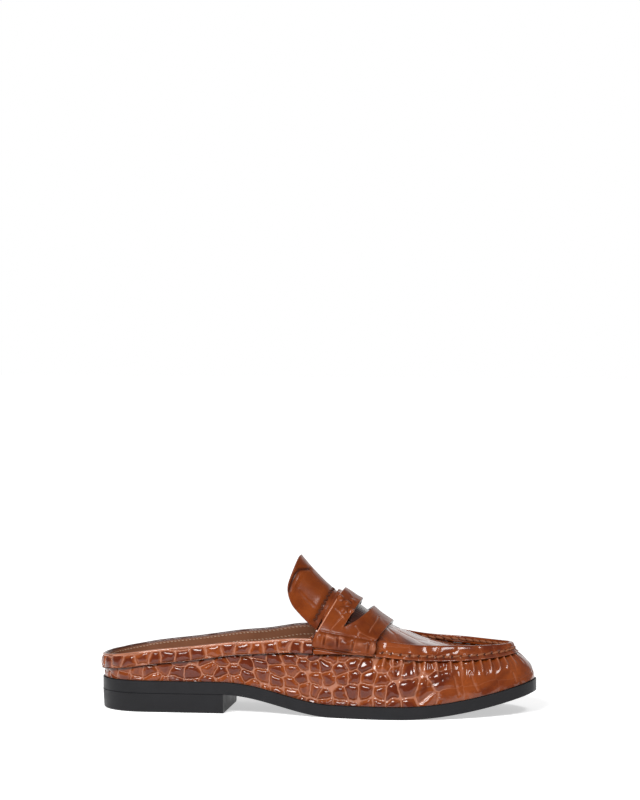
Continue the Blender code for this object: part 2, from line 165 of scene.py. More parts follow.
# %% Find where a band begins and ends above the sole
def reach_of(node):
    """Lower and upper edge of a band on each side, as columns of distance, low z, high z."""
    corners = np.unique(np.array([v.co for v in frame["nodes"][node].data.vertices]).round(6), axis=0)
    found = measure(corners)
    table = {}
    for side in (-1, 1):
        mine = found[:, 1] == side
        order = np.argsort(found[mine, 0])
        along, height = found[mine, 0][order], corners[mine, 2][order]
        groups = np.split(np.arange(len(along)), np.where(np.diff(along) > 1.5 * MM)[0] + 1)
        table[side] = np.array([(along[g].mean(), height[g].min(), height[g].max()) for g in groups])
    return table


collar_reach = reach_of("collar_band")
seam_reach = reach_of("seam_band")
print("collar band stations", len(collar_reach[-1]), "seam band stations", len(seam_reach[-1]))


def edge_height(reach, along, side, upper):
    table = reach[int(side)]
    return float(np.interp(along, table[:, 0], table[:, 2 if upper else 1]))


# %% [markdown]
# ## Working on one piece at a time
# Blender's operators act on all that is selected, so each helper first selects one piece alone.
# A piece starts as a merged copy of its solid. Its triangles are paired into quads again, because
# quads stay even when they are subdivided.

# %% Helpers for copying and smoothing
def only(piece):
    bpy.ops.object.select_all(action="DESELECT")
    piece.select_set(True)
    bpy.context.view_layer.objects.active = piece


def edit(piece, kind="FACE"):
    """Opens a piece in edit mode with nothing selected."""
    only(piece)
    bpy.ops.object.mode_set(mode="EDIT")
    bpy.ops.mesh.select_mode(type=kind)
    bpy.ops.mesh.select_all(action="DESELECT")


def done():
    bpy.ops.object.mode_set(mode="OBJECT")


def copy_of(node, name):
    """A merged copy of one of the frame's solids."""
    piece = bpy.data.objects.new(name, frame["nodes"][node].data.copy())
    scene.collection.objects.link(piece)
    piece.data.name = name
    piece.data.materials.clear()
    edit(piece)
    bpy.ops.mesh.select_all(action="SELECT")
    bpy.ops.mesh.remove_doubles(threshold=0.01 * MM)
    bpy.ops.mesh.tris_convert_to_quads(face_threshold=radians(70), shape_threshold=radians(110))
    bpy.ops.mesh.customdata_custom_splitnormals_clear()
    done()
    return piece


def apply_modifier(piece, kind, **settings):
    modifier = piece.modifiers.new(kind.lower(), kind)
    for setting, value in settings.items():
        setattr(modifier, setting, value)
    only(piece)
    bpy.ops.object.modifier_apply(modifier=modifier.name)


def crease_sharp(piece, angle, amount):
    """Marks the sharp edges so that subdividing keeps them crisp."""
    edit(piece, "EDGE")
    bpy.ops.mesh.edges_select_sharp(sharpness=radians(angle))
    bpy.ops.transform.edge_crease(value=amount)
    done()


def subdivide(piece, levels):
    apply_modifier(piece, "SUBSURF", levels=levels, render_levels=levels)


def split_upright(piece, cuts):
    """Cuts the edges that run up the leather, so that its faces come out nearly square."""
    edit(piece, "EDGE")
    done()
    spots = places(piece)
    signed = measure(spots)[:, :2].prod(axis=1)
    for edge in piece.data.edges:
        a, b = edge.vertices
        edge.select = bool(abs(signed[a] - signed[b]) < 0.5 * np.linalg.norm(spots[a] - spots[b]))
    bpy.ops.object.mode_set(mode="EDIT")
    bpy.ops.mesh.subdivide(number_cuts=cuts, smoothness=1.0)
    done()


def take_faces(piece, name, wanted):
    """Splits the faces for which wanted(face) holds off into a piece of their own."""
    edit(piece)
    done()
    for face in piece.data.polygons:
        face.select = bool(wanted(face))
    before = set(bpy.data.objects)
    only(piece)
    bpy.ops.object.mode_set(mode="EDIT")
    bpy.ops.mesh.separate(type="SELECTED")
    done()
    (part,) = set(bpy.data.objects) - before
    part.name = part.data.name = name
    return part


def places(piece):
    flat = np.zeros(len(piece.data.vertices) * 3, np.float32)
    piece.data.vertices.foreach_get("co", flat)
    return flat.reshape(-1, 3).astype(float)


def normals(piece):
    return np.array([v.normal for v in piece.data.vertices])


def keep_values(piece, name, values):
    """Stores one number or one vector a vertex, for the relief and the leather to read."""
    values = np.asarray(values, np.float32)
    if values.ndim == 1:
        layer = piece.data.attributes.new(name, "FLOAT", "POINT")
        layer.data.foreach_set("value", values)
    else:
        layer = piece.data.attributes.new(name, "FLOAT_VECTOR", "POINT")
        layer.data.foreach_set("vector", values.ravel())


def finish_piece(piece, slot, *nodes):
    """Shades a piece smooth, sets it on the shoe and hides the solids that it stands for."""
    only(piece)
    bpy.ops.object.shade_smooth()
    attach(piece, "root")
    if nodes:
        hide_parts(*nodes)
    print(piece.name, len(piece.data.polygons), "faces")


# %% [markdown]
# ## The scales
# Embossed crocodile is pressed by a plate into smooth hide: rounded domes with soft channels
# between them, small on the flanks and large over the toe. A Voronoi pattern draws such islands,
# and rounding off its corners turns the islands into domes. It reads a place stored on each vertex
# and counted in scales, so one scale can be 8 mm on the wall and 20 mm at the toe. Geometry nodes
# press it into the mesh, and the leather's shader reads the same pattern, so colour and shape
# always agree.

# %% The pattern, shared by the mesh and the shader
WOBBLE = 0.24
WOBBLE_SCALE = 1.6
CORNER_REACH = 0.68
CORNER_SOFTNESS = 0.14


def math_node(tree, operation, *values):
    """A math node whose inputs are numbers or other nodes' outputs."""
    node = tree.nodes.new("ShaderNodeMath")
    node.operation = operation
    for socket, value in zip(node.inputs, values):
        if isinstance(value, (int, float)):
            socket.default_value = value
        else:
            tree.links.new(value, socket)
    return node.outputs[0]


def ramp(tree, value, start, end, low, high):
    """Eases value from start to end into low to high. Any of them may be another node's output."""
    node = tree.nodes.new("ShaderNodeMapRange")
    node.interpolation_type = "SMOOTHSTEP"
    for socket, number in zip(node.inputs, (value, start, end, low, high)):
        if isinstance(number, (int, float)):
            socket.default_value = number
        else:
            tree.links.new(number, socket)
    return node.outputs[0]


def scale_pattern(tree, place, randomness):
    """Adds the pattern to a node tree. Gives the distance to a dome's foot, the dome's own tone,
    and how deep the scales are pressed there."""
    nodes, links = tree.nodes, tree.links
    parts = nodes.new("ShaderNodeSeparateXYZ")
    links.new(place, parts.inputs[0])
    depth = parts.outputs[2]
    noise = nodes.new("ShaderNodeTexNoise")
    noise.noise_dimensions = "2D"
    noise.inputs["Scale"].default_value = WOBBLE_SCALE
    noise.inputs["Detail"].default_value = 1.0
    links.new(place, noise.inputs["Vector"])
    centre = nodes.new("ShaderNodeVectorMath")
    centre.operation = "SUBTRACT"
    centre.inputs[1].default_value = (0.5, 0.5, 0.5)
    links.new(noise.outputs["Color"], centre.inputs[0])
    bend = nodes.new("ShaderNodeVectorMath")
    bend.operation = "MULTIPLY_ADD"
    bend.inputs[1].default_value = (WOBBLE, WOBBLE, 0.0)
    links.new(centre.outputs[0], bend.inputs[0])
    links.new(place, bend.inputs[2])
    found = {}
    for feature in ("DISTANCE_TO_EDGE", "F1"):
        cells = nodes.new("ShaderNodeTexVoronoi")
        cells.voronoi_dimensions = "2D"
        cells.feature = feature
        cells.inputs["Scale"].default_value = 1.0
        cells.inputs["Randomness"].default_value = randomness
        links.new(bend.outputs[0], cells.inputs["Vector"])
        found[feature] = cells
    reach = ramp(tree, depth, 0.3, 1.0, CORNER_REACH + 0.5, CORNER_REACH)
    corner = math_node(tree, "SUBTRACT", reach, found["F1"].outputs["Distance"])
    border = math_node(tree, "SMOOTH_MIN", found["DISTANCE_TO_EDGE"].outputs["Distance"], corner,
                       CORNER_SOFTNESS)
    return border, found["F1"].outputs["Color"], depth


# %% Press the scales into a mesh
def press_scales(piece, depth, randomness, channel=0.24):
    """Sinks the channels between scales by depth, and adds the folds stored on the vertices."""
    tree = bpy.data.node_groups.new(piece.name + " relief", "GeometryNodeTree")
    tree.interface.new_socket("Geometry", in_out="INPUT", socket_type="NodeSocketGeometry")
    tree.interface.new_socket("Geometry", in_out="OUTPUT", socket_type="NodeSocketGeometry")
    start, end = tree.nodes.new("NodeGroupInput"), tree.nodes.new("NodeGroupOutput")
    place = tree.nodes.new("GeometryNodeInputNamedAttribute")
    place.data_type = "FLOAT_VECTOR"
    place.inputs["Name"].default_value = "scale_place"
    fold = tree.nodes.new("GeometryNodeInputNamedAttribute")
    fold.data_type = "FLOAT"
    fold.inputs["Name"].default_value = "fold"
    border, _, weight = scale_pattern(tree, place.outputs[0], randomness)
    groove = ramp(tree, border, -0.02, channel, -depth, 0.0)
    dome = ramp(tree, border, 0.0, 0.5, -0.5 * depth, 0.0)
    relief = math_node(tree, "ADD", groove, dome)
    sunk = math_node(tree, "MULTIPLY_ADD", relief, weight, fold.outputs[0])
    normal = tree.nodes.new("GeometryNodeInputNormal")
    push = tree.nodes.new("ShaderNodeVectorMath")
    push.operation = "SCALE"
    tree.links.new(normal.outputs[0], push.inputs[0])
    tree.links.new(sunk, push.inputs["Scale"])
    move = tree.nodes.new("GeometryNodeSetPosition")
    tree.links.new(start.outputs[0], move.inputs["Geometry"])
    tree.links.new(push.outputs[0], move.inputs["Offset"])
    tree.links.new(move.outputs[0], end.inputs[0])
    modifier = piece.modifiers.new("relief", "NODES")
    modifier.node_group = tree
    only(piece)
    bpy.ops.object.modifier_apply(modifier=modifier.name)


# %% [markdown]
# ## Creases drawn one by one
# A crease in leather is a soft trough with a low ridge along each side. We draw one as a bent line
# through a few spots measured on the shoe, and ask how far each vertex lies from it.

# %% Helpers for creases
def from_line(spots, line):
    """Distance from each spot to a bent line, in two or three dimensions."""
    line = np.asarray(line, float)
    nearest = np.full(len(spots), 1.0)
    for a, b in zip(line, line[1:]):
        run = b - a
        share = np.clip((spots - a) @ run / (run @ run), 0, 1)
        nearest = np.minimum(nearest, np.linalg.norm(spots - a - share[:, None] * run, axis=1))
    return nearest


def crease(distance, width, depth):
    """The fold of a crease, and how much of it lies in the trough's shade."""
    trough = np.exp(-((distance / width) ** 2))
    ridge = np.exp(-(((distance - 2.3 * width) / width) ** 2))
    return depth * (0.4 * ridge - trough), trough


def hump(distance, width, height):
    return height * np.exp(-((distance / width) ** 2))


# %% [markdown]
# ## The finishes
# The leather is a deep cognac under a clear, hard gloss. The channels are paler than the domes,
# partly because the plate thins the dye there and partly as painted highlight. A value stored on
# each vertex darkens cut edges, paints shade into creases, grooves, stitch dents, the slot and the
# places under bands, and paints highlights on the crests of puckers, pillows and knobs and along
# folded edges; it also pales a few thin lines. The sole is plain black rubber with a soft sheen,
# and the lining is smooth brown calf with a fine grain.

# %% Leather, lining, rubber and thread
def new_material(name, roughness, coat=0.0, coat_roughness=0.03, specular=0.5, coat_ior=1.5):
    material = bpy.data.materials.new(name)
    material.use_nodes = True
    shader = material.node_tree.nodes["Principled BSDF"]
    shader.inputs["Roughness"].default_value = roughness
    shader.inputs["Specular IOR Level"].default_value = specular
    shader.inputs["Coat Weight"].default_value = coat
    shader.inputs["Coat Roughness"].default_value = coat_roughness
    shader.inputs["Coat IOR"].default_value = coat_ior
    return material, material.node_tree, shader


def object_noise(tree, scale, detail=2.0):
    """Noise fixed to the shoe, with scale counted per metre."""
    spot = tree.nodes.new("ShaderNodeTexCoord")
    noise = tree.nodes.new("ShaderNodeTexNoise")
    noise.inputs["Scale"].default_value = scale
    noise.inputs["Detail"].default_value = detail
    tree.links.new(spot.outputs["Object"], noise.inputs["Vector"])
    return noise.outputs[0]


def stored(tree, name, output):
    """A value kept on the vertices."""
    node = tree.nodes.new("ShaderNodeAttribute")
    node.attribute_name = name
    return node.outputs[output]


def blend_colours(tree, factor, first, second):
    """Mixes two colours. Each is a tuple or another node's output."""
    node = tree.nodes.new("ShaderNodeMix")
    node.data_type = "RGBA"
    if isinstance(factor, (int, float)):
        node.inputs[0].default_value = factor
    else:
        tree.links.new(factor, node.inputs[0])
    for socket, colour in ((node.inputs[6], first), (node.inputs[7], second)):
        if isinstance(colour, tuple):
            socket.default_value = (*colour, 1.0)
        else:
            tree.links.new(colour, socket)
    return node.outputs[2]


def add_bump(tree, shader, heights, coat=False):
    """Chains bumps, each a height output with its depth in metres."""
    below = None
    for height, depth, strength in heights:
        bump = tree.nodes.new("ShaderNodeBump")
        bump.inputs["Strength"].default_value = strength
        bump.inputs["Distance"].default_value = depth
        tree.links.new(height, bump.inputs["Height"])
        if below is not None:
            tree.links.new(below, bump.inputs["Normal"])
        below = bump.outputs[0]
    tree.links.new(below, shader.inputs["Normal"])
    if coat:
        tree.links.new(below, shader.inputs["Coat Normal"])


SCALE_DARK = (0.095, 0.0125, 0.0016)
SCALE_WARM = (0.212, 0.0435, 0.0068)
# Pale channel colour, also used for painted highlights.
PALE_CHANNEL_AND_HIGHLIGHT = (0.330, 0.1220, 0.0650)
# Dark for cut edges and for painted shade.
DARK_EDGE_AND_PAINTED_SHADE = (0.040, 0.0070, 0.0020)


def apply_painted_light_and_tone(tree, colour):
    """Darkens a colour where the stored value is below zero, mostly painted shade, and pales it where it is above,
    mostly painted highlight.
    """
    painted_light_and_tone = stored(tree, "painted_light_and_tone", "Fac")
    darker = blend_colours(tree, ramp(tree, painted_light_and_tone, 0.0, -1.0, 0.0, 1.0), colour, DARK_EDGE_AND_PAINTED_SHADE)
    return blend_colours(tree, ramp(tree, painted_light_and_tone, 0.0, 1.0, 0.0, 1.0), darker, PALE_CHANNEL_AND_HIGHLIGHT)


def croc_leather(name, randomness, channel=0.070, gloss=0.10, grain=0.12, coat=1.0, shade=1.0):
    material, tree, shader = new_material(name, 0.32, coat, gloss, 0.05, 1.43)
    dark, warm = (tuple(shade * c for c in colour) for colour in (SCALE_DARK, SCALE_WARM))
    border, tone, depth = scale_pattern(tree, stored(tree, "scale_place", "Vector"), randomness)
    tones = tree.nodes.new("ShaderNodeSeparateColor")
    tree.links.new(tone, tones.inputs[0])
    own = math_node(tree, "MULTIPLY", math_node(tree, "SUBTRACT", tones.outputs[0], 0.5), depth)
    cloud = object_noise(tree, 70.0)
    spread = math_node(tree, "MULTIPLY_ADD", math_node(tree, "SUBTRACT", cloud, 0.5), 1.6, 0.62)
    mixed = math_node(tree, "ADD", math_node(tree, "MULTIPLY", own, 0.9), spread)
    # Darker towards each dome's heart: partly the dome's own colour, partly painted shade.
    heart = math_node(tree, "MULTIPLY", ramp(tree, border, 0.08, 0.36, -0.10, 0.62), depth)
    mixed = math_node(tree, "SUBTRACT", mixed, heart)
    scale = blend_colours(tree, ramp(tree, mixed, 0.0, 1.0, 0.0, 1.0), dark, warm)
    width = math_node(tree, "MULTIPLY_ADD", depth, channel, 0.006)
    vein = ramp(tree, border, math_node(tree, "MULTIPLY", width, 0.15), width, 1.0, 0.0)
    vein = math_node(tree, "MULTIPLY", vein, ramp(tree, depth, 0.0, 0.9, 0.0, 0.95))
    colour = blend_colours(tree, vein, scale, PALE_CHANNEL_AND_HIGHLIGHT)
    tree.links.new(apply_painted_light_and_tone(tree, colour), shader.inputs["Base Color"])
    tree.links.new(ramp(tree, vein, 0.0, 1.0, 0.28, 0.45), shader.inputs["Roughness"])
    hollow = math_node(tree, "MULTIPLY", ramp(tree, border, -0.02, 0.15, 0.0, 1.0), depth)
    add_bump(tree, shader, [(hollow, 0.45 * MM, 0.8), (object_noise(tree, 240.0), 0.30 * MM, grain),
                            (object_noise(tree, 1000.0, 3.0), 0.05 * MM, 0.4)], coat=True)
    return material


def smooth_leather(name, dark, light, roughness, coat=0.0):
    material, tree, shader = new_material(name, roughness, coat, 0.2, 0.3, 1.4)
    cloud = object_noise(tree, 90.0, 3.0)
    tree.links.new(apply_painted_light_and_tone(tree, blend_colours(tree, cloud, dark, light)), shader.inputs["Base Color"])
    grain = tree.nodes.new("ShaderNodeTexVoronoi")
    grain.inputs["Scale"].default_value = 1400.0
    spot = tree.nodes.new("ShaderNodeTexCoord")
    tree.links.new(spot.outputs["Object"], grain.inputs["Vector"])
    add_bump(tree, shader, [(cloud, 0.4 * MM, 0.25), (grain.outputs["Distance"], 0.05 * MM, 0.4)])
    return material


def black_rubber(name):
    material, tree, shader = new_material(name, 0.42, specular=0.15)
    cloud = object_noise(tree, 120.0, 4.0)
    tree.links.new(blend_colours(tree, cloud, (0.010, 0.010, 0.011), (0.016, 0.016, 0.018)),
                   shader.inputs["Base Color"])
    tree.links.new(ramp(tree, cloud, 0.3, 0.7, 0.38, 0.50), shader.inputs["Roughness"])
    add_bump(tree, shader, [(object_noise(tree, 1800.0, 3.0), 0.03 * MM, 0.4)])
    return material


def thread_material(name, colour):
    material, tree, shader = new_material(name, 0.55, specular=0.15)
    strands = object_noise(tree, 2500.0, 1.0)
    darker = tuple(0.6 * c for c in colour)
    tree.links.new(blend_colours(tree, strands, darker, colour), shader.inputs["Base Color"])
    add_bump(tree, shader, [(strands, 0.06 * MM, 0.7)])
    return material


WALL_RANDOM = 0.62
ROW_RANDOM = 0.35
wall_leather = croc_leather("croc_wall", WALL_RANDOM)
row_leather = croc_leather("croc_row", ROW_RANDOM, channel=0.10)
# The tongue and strap take a darker copy of the leather, painted shade that holds back the full front light on them.
broad_leather = croc_leather("croc_broad", WALL_RANDOM, gloss=0.24, grain=0.06, coat=0.35, shade=0.84)
lining_leather = smooth_leather("brown_lining", (0.190, 0.075, 0.038), (0.270, 0.115, 0.062), 0.36)
# The folded edges are paler leather, a painted highlight along the rolled edge.
edge_leather = smooth_leather("folded_edge", (0.330, 0.110, 0.055), (0.470, 0.200, 0.115), 0.30, 0.6)
footbed_leather = smooth_leather("footbed_calf", (0.150, 0.060, 0.030), (0.210, 0.090, 0.048), 0.45)
sole_rubber = black_rubber("black_sole_rubber")
pale_thread = thread_material("pale_thread", (0.62, 0.42, 0.30))
brown_thread = thread_material("brown_thread", (0.285, 0.100, 0.046))
dark_thread = thread_material("dark_thread", (0.080, 0.020, 0.008))
print("materials", len(bpy.data.materials))

# %% [markdown]
# ## The upper's wall
# The wall is one piece of hide round the whole foot. We take the outside of the upper's solid:
# from a face at the heel, the selection spreads over every neighbour that turns by less than a
# right angle, and stops at the cut edges. What remains is the inside, kept for the lining.

# %% Split the upper into wall, apron and lining
upper_copy = copy_of("upper", "shoe_lining")
edit(upper_copy)
done()
heel_face = min(upper_copy.data.polygons, key=lambda f: f.center.x + (0.02 if f.normal.x > -0.9 else 0.0))
heel_face.select = True
only(upper_copy)
bpy.ops.object.mode_set(mode="EDIT")
bpy.ops.mesh.faces_select_linked_flat(sharpness=radians(66))
before = set(bpy.data.objects)
bpy.ops.mesh.separate(type="SELECTED")
done()
(wall,) = set(bpy.data.objects) - before
wall.name = wall.data.name = "croc_wall"
print("outside faces", len(wall.data.polygons), "inside faces", len(upper_copy.data.polygons))

TONGUE_FOOT_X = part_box("tongue")[1].x


def on_apron(face):
    """The apron's faces look up more than the wall's do. Both lean back more towards the toe."""
    lean = np.interp(face.center.x, [0.0, 0.118], [0.50, 0.87])
    return face.center.x > TONGUE_FOOT_X - 20 * MM and face.normal.z > lean


apron = take_faces(wall, "croc_apron", on_apron)
print("wall", len(wall.data.polygons), "apron", len(apron.data.polygons))

# %% [markdown]
# The scales are laid out by a short table: their width and height and how deep they are pressed,
# at places from the heel's back to the toe. Between those the sizes change slowly.

# %% Lay the scales out on the wall
WALL_SCALES = np.array([
    # share of the way to the toe, width mm, height mm, depth
    (0.00, 9.5, 7.6, 0.65),
    (0.20, 9.0, 7.4, 0.80),
    (0.35, 8.2, 7.2, 1.00),
    (0.52, 8.0, 7.4, 1.10),
    (0.60, 8.2, 8.6, 1.10),
    (0.68, 9.0, 10.5, 1.00),
    (0.73, 11.0, 12.5, 0.80),
    (0.78, 17.0, 15.0, 0.30),
    (1.00, 24.0, 16.0, 0.18),
])


def scale_counts(along):
    """How many scales lie between the heel's back and each distance."""
    fine = np.linspace(0, 1, 600)
    width = np.interp(fine, WALL_SCALES[:, 0], WALL_SCALES[:, 1]) * MM
    counted = np.concatenate([[0], np.cumsum(HALF_ROUND * np.diff(fine) / width[1:])])
    return np.interp(along / HALF_ROUND, fine, counted)


def wall_places(found):
    share = found[:, 0] / HALF_ROUND
    up = found[:, 3] + 0.35 * found[:, 2]
    height = np.interp(share, WALL_SCALES[:, 0], WALL_SCALES[:, 2]) * MM
    depth = np.interp(share, WALL_SCALES[:, 0], WALL_SCALES[:, 3])
    return np.stack([scale_counts(found[:, 0]), up / height + 0.3, depth], axis=1)


# %% [markdown]
# Where the wall is gathered into the toe seam, the leather stands in short upright puckers. They
# are placed one by one, each with its distance past the strap, its length, its width and its height.
# Below them a few long creases cross the toe where it bends.

# %% Puckers and creases, placed one by one
STRAP_FRONT_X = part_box("seam_band")[0].x
PUCKERS = [
    # past the strap, slant, length, width, height, all in mm
    (5.5, -1.5, 13.0, 1.1, 1.25),
    (10.5, 1.5, 13.0, 1.1, 1.20),
    (16.5, -1.0, 15.0, 1.2, 1.35),
    (24.0, 1.2, 13.0, 1.4, 1.45),
    (31.0, -1.5, 11.0, 1.0, 1.00),
    (38.5, 0.8, 14.0, 1.3, 1.40),
    (48.5, -1.2, 9.0, 1.1, 1.25),
    (55.5, -0.8, 11.0, 1.2, 1.30),
    (63.5, -2.0, 9.0, 1.0, 1.15),
    (69.0, -1.5, 9.5, 1.0, 1.20),
    (76.0, -2.0, 8.0, 1.0, 1.10),
    (82.0, -2.0, 7.5, 1.0, 1.10),
    (87.5, -1.5, 7.0, 1.0, 1.00),
    (95.0, -1.0, 7.0, 1.0, 0.90),
    (102.0, 0.0, 6.0, 1.0, 0.80),
]
WALL_CREASES = [
    # width, depth in mm, painted shade below zero and paleness above, then the spots the crease runs through as x, y,
    # z in mm
    (1.4, 0.30, -0.40, [(62.6, -42.4, 14.6), (64.5, -42.2, 16.5), (67.7, -41.5, 17.8), (71.4, -40.3, 20.3),
                       (75.2, -38.8, 22.2), (78.9, -37.3, 23.9), (83.9, -34.5, 25.7)]),
    (0.6, 0.45, 0.7, [(67.7, -35.8, 30.8), (69.3, -38.2, 26.6), (71.3, -39.4, 23.4), (70.8, -40.3, 20.4)]),
    (0.6, 0.40, 0.5, [(86.1, -33.7, 25.6), (87.9, -35.3, 20.0), (89.2, -35.4, 14.1)]),
    (0.6, 0.40, 0.5, [(74.7, -39.8, 19.0), (77.9, -39.6, 13.8)]),
    (1.6, 0.14, -0.30, [(104.0, -28.0, 17.0), (107.9, -25.8, 19.0), (111.0, -23.4, 22.0), (114.5, -19.2, 25.5),
                       (117.6, -16.5, 26.5)]),
    (0.6, 0.35, 0.5, [(120.1, -15.0, 25.7), (121.5, -15.5, 23.1), (122.1, -15.2, 20.5)]),
    (0.6, 0.35, 0.5, [(97.0, -31.5, 27.0), (98.5, -32.0, 21.0), (100.5, -31.0, 16.5)]),
]


def wall_folds(found, heights):
    """The folds on the wall, with their painted shade and painted highlight."""
    folds, painted_light_and_tone = np.zeros(len(found)), np.zeros(len(found))
    for side in (-1, 1):
        mine = found[:, 1] == side
        along, up = found[mine, 0], found[mine, 3]
        past = along - along_at_x(STRAP_FRONT_X, side)
        seam = np.interp(along, seam_reach[side][:, 0], seam_reach[side][:, 1])
        down = seam - heights[mine]
        total, shade = np.zeros(mine.sum()), np.zeros(mine.sum())
        for start, slant, length, width, height in PUCKERS:
            shifted = past / MM - start - (1.5 if side > 0 else 0.0) - slant * down / MM / 10
            reach = np.clip(1 - down / MM / length, 0, 1) * (down > -3 * MM)
            total += reach**0.8 * (hump(shifted, width, height) - hump(np.abs(shifted) - 2.2 * width, width,
                                                                       0.3 * height)) * MM
            # Painted highlight along each pucker's crest, painted shade in the troughs beside it.
            shade += reach * (hump(shifted, 0.6 * width, 1.0) - 0.20 * hump(np.abs(shifted) - 2.0 * width,
                                                                                  0.8 * width, 1.0))
        folds[mine] = total * (past > -4 * MM)
        painted_light_and_tone[mine] = shade * (past > -4 * MM)
        for width, depth, colour, spots in WALL_CREASES:
            line = measure(np.array(spots) * MM)[:, [0, 3]] - ((4 * MM, 0) if side > 0 else (0, 0))
            fold, trough = crease(from_line(np.stack([along, up], axis=1), line), width * MM, depth * MM)
            folds[mine] += fold
            painted_light_and_tone[mine] += colour * trough
        # Painted shade under the toe seam and the collar band, and along the sole's edge.
        under = np.minimum(np.abs(down), 9 * MM) * (past > -4 * MM) + 9 * MM * (past <= -4 * MM)
        collar_low = np.interp(along, collar_reach[side][:, 0], collar_reach[side][:, 1]) - heights[mine]
        below = np.abs(collar_low) + 9 * MM * (past > -2 * MM)
        painted_light_and_tone[mine] -= hump(under, 0.4 * MM, 0.3) + hump(below, 0.9 * MM, 0.9) + hump(up, 0.9 * MM, 0.5)
    return folds, np.clip(painted_light_and_tone, -1, 1)


# %% Press and finish the wall
subdivide(wall, 1)
split_upright(wall, 1)
subdivide(wall, 2)
subdivide(apron, 3)
found = measure(places(wall))
folds, painted_light_and_tone = wall_folds(found, places(wall)[:, 2])
keep_values(wall, "scale_place", wall_places(found))
keep_values(wall, "fold", folds)
keep_values(wall, "painted_light_and_tone", painted_light_and_tone)
press_scales(wall, 0.85 * MM, WALL_RANDOM, channel=0.24)
wall.data.materials.append(wall_leather)
finish_piece(wall, "croc_leather", "upper")

# %% [markdown]
# ## The apron and the lining
# The apron is the plug of leather over the toes. Its scales are large and shallow, with thin
# creases, laid out in plan. Under the strap's slot it is finely ribbed and darkened with painted
# shade. The lining is the upper's inside with its cut edges, and it only needs rounding off.

# %% Apron and lining
SLOT_MIDDLE = np.array([(31.0, 0.0, 64.5), (24.9, -16.2, 62.0), (25.7, -23.0, 57.2), (23.6, -26.8, 55.0)]) * MM
spots = places(apron)
across = spots * (1, -1, 1)
near_slot = np.minimum(from_line(spots, SLOT_MIDDLE), from_line(across, SLOT_MIDDLE))
in_slot = np.clip((7.5 * MM - near_slot) / (2.5 * MM), 0, 1)
turned = np.arctan2(spots[:, 1], spots[:, 2] - 20 * MM) * 36 * MM
keep_values(apron, "scale_place", np.stack([spots[:, 0] / (17 * MM), spots[:, 1] / (15 * MM) + 0.4,
                                            0.30 * (1 - in_slot)], axis=1))
keep_values(apron, "fold", 0.12 * MM * in_slot * np.sin(2 * pi * turned / (1.9 * MM)))
# Painted shade where the apron lies under the strap's slot.
keep_values(apron, "painted_light_and_tone", -0.9 * in_slot)
press_scales(apron, 0.40 * MM, WALL_RANDOM)
apron.data.materials.append(wall_leather)
finish_piece(apron, "croc_leather", "upper")

crease_sharp(upper_copy, 50, 0.55)
subdivide(upper_copy, 2)
spots = places(upper_copy)
found = measure(spots)
top = np.array([edge_height(collar_reach, a, s, True) for a, s in found[:, :2]])
keep_values(upper_copy, "painted_light_and_tone", -hump(np.minimum(top - spots[:, 2], 0.0), 9 * MM, 0.9)
            * np.clip(1 - (top - spots[:, 2]) / (1.4 * MM), 0, 1) * (spots[:, 0] < TONGUE_FOOT_X))
upper_copy.data.materials.append(lining_leather)
finish_piece(upper_copy, "lining_leather", "upper")


# %% [markdown]
# ## The collar band
# Round the opening runs a strip with a single row of rounded scales, each about 8.6 mm long. Its
# upper edge is folded over the wall's top, and a painted highlight pales the strip along that fold.

# %% One row of scales round the collar
def facing_out(piece, found):
    """How far each vertex faces away from the foot, from 0 to 1."""
    turned = normals(piece)
    result = np.zeros(len(found))
    for i, (along, side, _, _) in enumerate(found):
        way = edge_at(along, side)[1]
        result[i] = -(turned[i, 0] * way.x + turned[i, 1] * way.y)
    return np.clip((result - 0.25) / 0.35, 0, 1)


def band_share(found, heights, reach):
    """Height on a band, from 0 at its lower edge to 1 at its upper edge."""
    low, high = np.zeros(len(found)), np.ones(len(found))
    for side in (-1, 1):
        mine = found[:, 1] == side
        table = reach[side]
        low[mine] = np.interp(found[mine, 0], table[:, 0], table[:, 1])
        high[mine] = np.interp(found[mine, 0], table[:, 0], table[:, 2])
    return (heights - low) / (high - low)


collar = copy_of("collar_band", "croc_collar_band")
crease_sharp(collar, 50, 0.7)
subdivide(collar, 3)
found = measure(places(collar))
share = band_share(found, places(collar)[:, 2], collar_reach)
out = facing_out(collar, found)
keep_values(collar, "scale_place", np.stack([found[:, 0] / (8.6 * MM), (share - 0.5) * 1.04 + ROW_RANDOM / 2, 1.2 * out], axis=1))
keep_values(collar, "fold", 0.30 * MM * out * np.sin(pi * np.clip(share, 0, 1)))
# Painted highlight along the top fold, painted shade low on the band's inner face.
keep_values(collar, "painted_light_and_tone", 0.9 * np.clip((share - 0.86) / 0.08, 0, 1) - 0.9 * (1 - out) * (share < 0.3))
press_scales(collar, 0.60 * MM, ROW_RANDOM)
collar.data.materials.append(row_leather)
finish_piece(collar, "croc_leather", "collar_band")

# %% [markdown]
# The folded edge is a bead of leather laid along the opening, from the strap round the heel and
# back to the strap. It is drawn as a curve with a round section, then turned into a mesh.

# %% The folded edge of the opening
BEAD_RADIUS = 1.0 * MM
BEAD_STEP = 3.0 * MM


def bead(name, spots, radius, material):
    """A round bead of leather through a row of spots, closed at both ends."""
    line = bpy.data.curves.new(name, "CURVE")
    line.dimensions = "3D"
    line.bevel_depth = radius
    line.bevel_resolution = 2
    line.use_fill_caps = True
    spline = line.splines.new("POLY")
    spline.points.add(len(spots) - 1)
    for point, spot in zip(spline.points, spots):
        point.co = (*spot, 1.0)
    piece = bpy.data.objects.new(name, line)
    scene.collection.objects.link(piece)
    only(piece)
    bpy.ops.object.convert(target="MESH")
    piece = bpy.context.object
    piece.name = piece.data.name = name
    piece.data.materials.append(material)
    return piece


